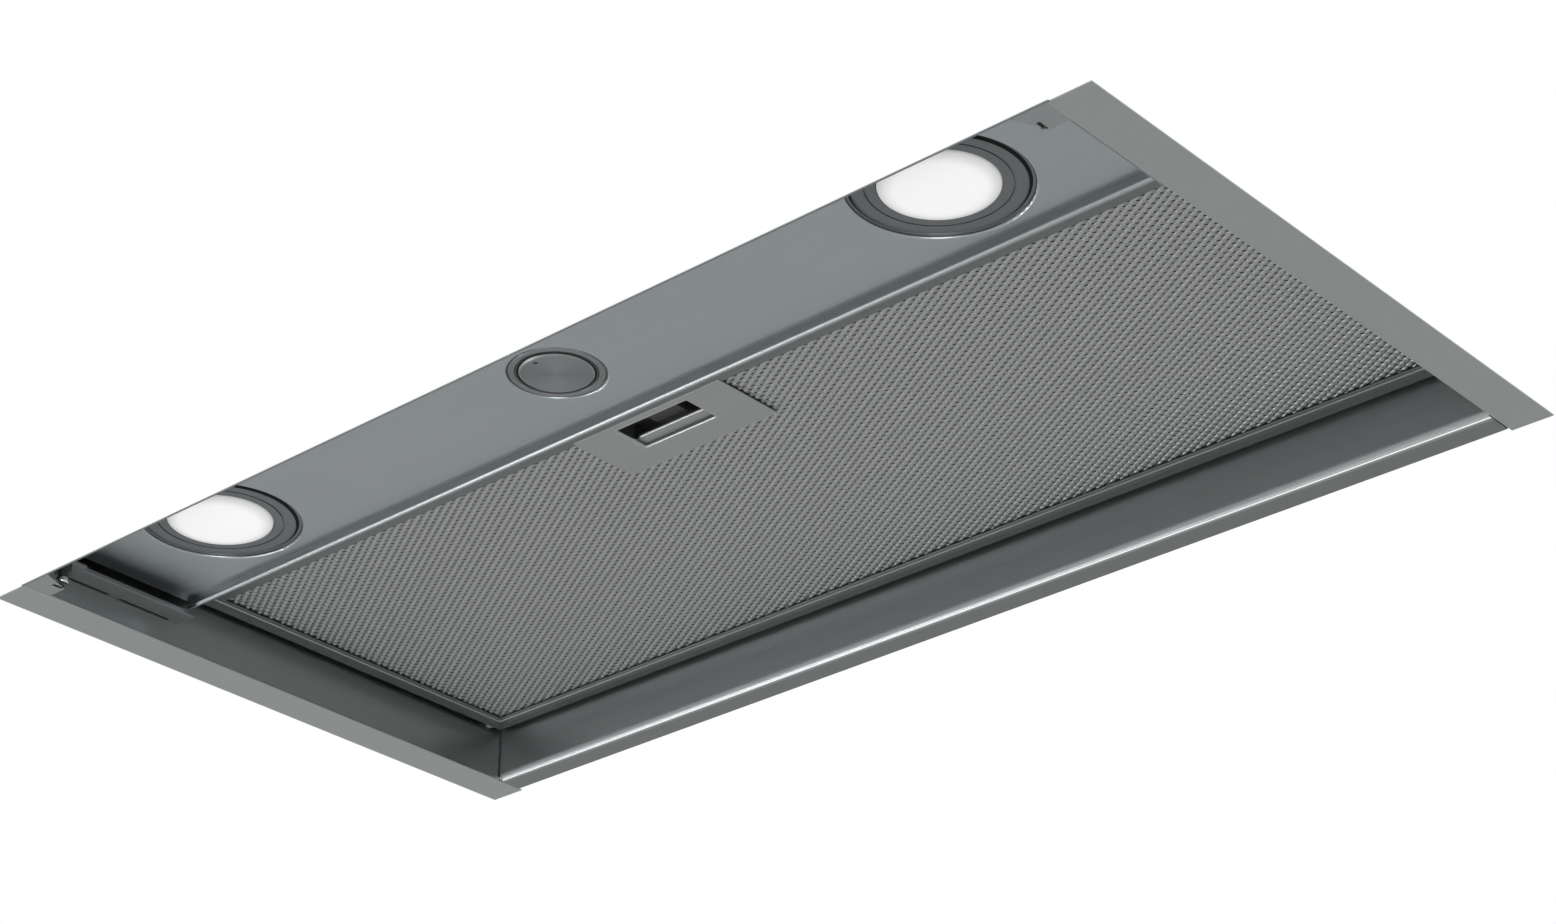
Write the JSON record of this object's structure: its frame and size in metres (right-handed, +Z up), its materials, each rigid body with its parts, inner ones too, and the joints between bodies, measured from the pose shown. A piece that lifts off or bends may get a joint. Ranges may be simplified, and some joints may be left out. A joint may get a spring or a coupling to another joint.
{
  "type": "integrated range hood",
  "caption": "Built-in sheet steel range hood with side flanges, lamps, a flush knob, a swing-down grease filter, a blower and a round duct collar.",
  "frame": {"origin": "under the middle of the part, in the plane of the flanges' undersides", "axes": "+X right for someone who faces the hood, +Y towards the kitchen wall, +Z up"},
  "size_m": [0.598, 0.3052, 0.3282],
  "materials": {
    "brushed_steel": "fine straight brush lines",
    "galvanised_steel": "zinc coated, faint spangle",
    "bright_steel": "polished or zinc plated",
    "lamp_ring": "satin grey",
    "opal_lens": "frosted opal",
    "cast_alloy": "die cast",
    "white_board": "solder mask",
    "circuit_board": "solder mask",
    "knob_metal": "spun face",
    "filter_aluminium": "bare expanded metal",
    "latch_plastic": "moulded, satin",
    "black_plastic": "moulded, fine grain",
    "grey_plastic": "moulded, fine grain",
    "lamination_steel": "stacked sheet"
  },
  "bodies": {
    "hood": {"left_side_panel": "brushed_steel", "corner_gusset_left": "brushed_steel", "panel_rail_left": "brushed_steel", "scroll_left": "grey_plastic", "right_side_panel": "brushed_steel", "corner_gusset_right": "brushed_steel", "panel_rail_right": "brushed_steel", "scroll_right": "grey_plastic", "back_panel": "brushed_steel", "front_panel": "brushed_steel", "roof_panel": "brushed_steel", "lamp_bezel_left": "lamp_ring", "lamp_lens_left": "opal_lens", "lamp_cup_left": "cast_alloy", "lamp_bezel_right": "lamp_ring", "lamp_lens_right": "opal_lens", "lamp_cup_right": "cast_alloy", "lamp_boards": "white_board", "rail_studs": "bright_steel", "corner_clips": "black_plastic", "control_panel": "brushed_steel", "knob_bezel": "knob_metal", "rotary_switch": "black_plastic", "control_board": "circuit_board", "board_posts": "bright_steel", "filter_pivot_pins": "bright_steel", "filter_seats": "brushed_steel", "blower_shell": "galvanised_steel", "blower_front_plate": "galvanised_steel", "blower_back_plate": "galvanised_steel", "shell_screws": "bright_steel", "motor_case": "cast_alloy", "motor_end_cap": "cast_alloy", "motor_stator": "lamination_steel", "motor_bearings": "bright_steel", "motor_bracket": "galvanised_steel", "run_capacitor": "black_plastic", "outlet_collar": "grey_plastic", "damper_rod": "bright_steel", "collar_screws": "bright_steel", "junction_box": "black_plastic", "junction_lid": "black_plastic", "cable_gland": "black_plastic", "lamp_driver": "black_plastic"},
    "filter": {"filter_frame": "filter_aluminium", "filter_mesh_lower": "filter_aluminium", "filter_mesh_upper": "filter_aluminium", "filter_pack": "filter_aluminium", "handle_plate": "brushed_steel", "handle_tray": "latch_plastic", "latch_spring": "bright_steel"},
    "latch": {"latch_slider": "latch_plastic"},
    "knob_plunger": {"push_sleeve": "black_plastic"},
    "knob": {"knob_cap": "knob_metal", "knob_shaft": "bright_steel"},
    "fan": {"impeller": "grey_plastic", "motor_shaft": "bright_steel", "motor_rotor": "lamination_steel"},
    "flap_front": {"damper_flap_front": "black_plastic"},
    "flap_back": {"damper_flap_back": "black_plastic"}
  },
  "joints": [
    {"name": "filter_swing", "type": "hinge", "parent": "hood", "child": "filter", "pos_m": [0, 0.1298, 0.029], "axis": [1, 0, 0], "range_deg": [0, 75]},
    {"name": "latch_pull", "type": "slide", "parent": "filter", "child": "latch", "axis": [0, 1, 0], "range_m": [0, 0.006], "stiffness_N_per_m": 400, "springref_m": -0.004, "deforming": ["latch_spring"]},
    {"name": "knob_pop", "type": "slide", "parent": "hood", "child": "knob_plunger", "axis": [0, 0, -1], "range_m": [-0.002, 0.011]},
    {"name": "knob_turn", "type": "hinge", "parent": "knob_plunger", "child": "knob", "pos_m": [0, -0.1056, 0.0202], "axis": [0, 0, -1], "range_deg": [0, 180]},
    {"name": "fan_spin", "type": "hinge", "parent": "hood", "child": "fan", "pos_m": [0, -0.00985, 0.197], "axis": [1, 0, 0], "continuous": true},
    {"name": "flap_front_swing", "type": "hinge", "parent": "hood", "child": "flap_front", "pos_m": [0, 0.0534, 0.2992], "axis": [-1, 0, 0], "range_deg": [0, 75]},
    {"name": "flap_back_swing", "type": "hinge", "parent": "hood", "child": "flap_back", "pos_m": [0, 0.0534, 0.2992], "axis": [1, 0, 0], "range_deg": [0, 75]}
  ]
}
